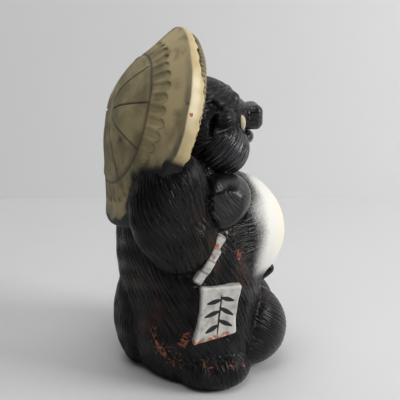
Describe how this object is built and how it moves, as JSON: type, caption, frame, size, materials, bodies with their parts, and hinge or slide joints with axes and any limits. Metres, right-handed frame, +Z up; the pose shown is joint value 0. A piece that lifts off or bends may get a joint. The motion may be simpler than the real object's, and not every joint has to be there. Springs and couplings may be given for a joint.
{
  "type": "tanuki statue",
  "caption": "Free-standing hollow pottery tanuki with a domed straw hat on its back, a pot belly, a money bag, a passbook plaque and a sake flask.",
  "frame": {"origin": "on the ground plane under the middle of the trunk, on the flat underside", "axes": "+Z up, -Y the way the figure faces, +X towards its left paw"},
  "size_m": [0.1808, 0.1545, 0.293],
  "materials": {
    "body_black": "satin paint over combed clay",
    "belly_white": "matte white paint, sprayed into black at its edge",
    "hat_straw": "matte olive wash over incised clay",
    "hat_weave": "matte olive wash over ribbed clay",
    "plaque_white": "matte white paint",
    "claw_white": "matte white paint",
    "eye_paint": "gloss",
    "flask_glaze": "brown gloss glaze",
    "bare_clay": "bare fired clay"
  },
  "bodies": {
    "root": {"body_front_shell": "body_black", "body_back_shell": "body_black", "money_bag": "body_black", "front_stub": "body_black", "tail": "body_black", "head_front_shell": "body_black", "head_back_shell": "body_black", "muzzle": "body_black", "nose": "body_black", "lower_lip": "body_black", "right_foot": "body_black", "left_foot": "body_black", "right_arm": "body_black", "left_arm": "body_black", "right_breast": "body_black", "left_breast": "body_black", "right_jowl": "body_black", "left_jowl": "body_black", "right_cheek_pad": "body_black", "left_cheek_pad": "body_black", "belly_dome": "belly_white", "hat_crown": "hat_straw", "hat_lining": "hat_weave", "passbook": "plaque_white", "right_claws": "claw_white", "left_claws": "claw_white", "teeth": "claw_white", "right_eye": "eye_paint", "left_eye": "eye_paint", "flask": "flask_glaze", "base_plate": "bare_clay", "seam_coil": "bare_clay"}
  },
  "joints": []
}
